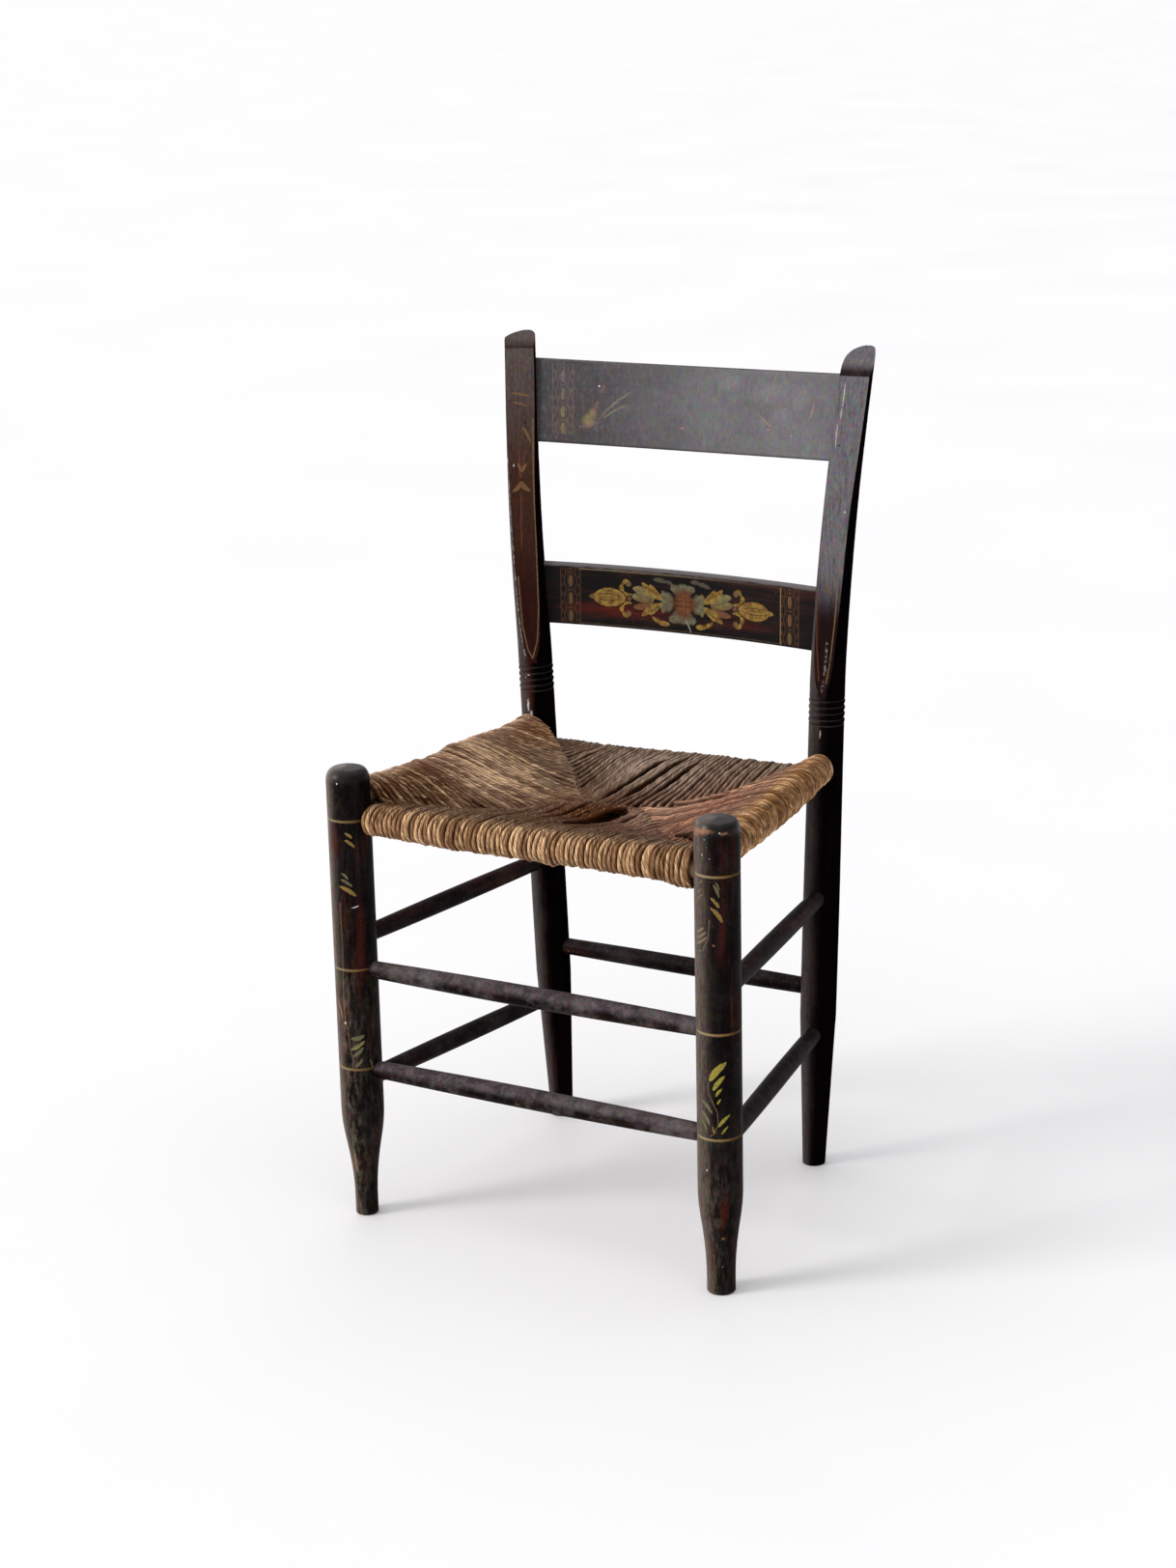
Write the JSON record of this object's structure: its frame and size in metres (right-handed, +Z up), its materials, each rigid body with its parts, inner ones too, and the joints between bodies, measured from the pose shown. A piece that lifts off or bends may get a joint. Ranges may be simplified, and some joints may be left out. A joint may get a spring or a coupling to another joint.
{
  "type": "side chair",
  "caption": "Painted and stenciled wooden side chair with bent back posts, a curved crest and slat, turned legs and rungs, and a woven rush seat.",
  "frame": {"origin": "middle of the chair's footprint, on the floor under its feet", "axes": "+Z up, -Y the way the sitter faces, +X to the right of someone looking at the front"},
  "size_m": [0.442, 0.3784, 0.846],
  "materials": {
    "crest_paint": "worn black-brown paint with faint gold stencil, satin",
    "slat_paint": "black-brown paint with gold and pink stencil, satin",
    "leg_paint": "black-brown paint with gold rings and leaf sprays, worn satin",
    "post_paint": "black-brown paint with gold lines, worn satin",
    "rung_paint": "black-brown paint over a red ground, satin",
    "bare_wood": "bare turned hardwood",
    "rush": "twisted natural rush, varnished and worn",
    "stuffing": "loose dry rush leaves"
  },
  "bodies": {
    "root": {"back_post_left": "post_paint", "back_post_right": "post_paint", "back_rung": "rung_paint", "back_slat": "slat_paint", "crest_pins": "post_paint", "crest_rail": "crest_paint", "front_leg_left": "leg_paint", "front_leg_right": "leg_paint", "front_rung_lower": "rung_paint", "front_rung_upper": "rung_paint", "rush_back": "rush", "rush_front": "rush", "rush_left": "rush", "rush_right": "rush", "seat_rail_back": "bare_wood", "seat_rail_front": "bare_wood", "seat_rail_left": "bare_wood", "seat_rail_right": "bare_wood", "side_rung_left_lower": "rung_paint", "side_rung_left_upper": "rung_paint", "side_rung_right_lower": "rung_paint", "side_rung_right_upper": "rung_paint", "stuffing_back": "stuffing", "stuffing_front": "stuffing", "stuffing_left": "stuffing", "stuffing_right": "stuffing"}
  },
  "joints": []
}
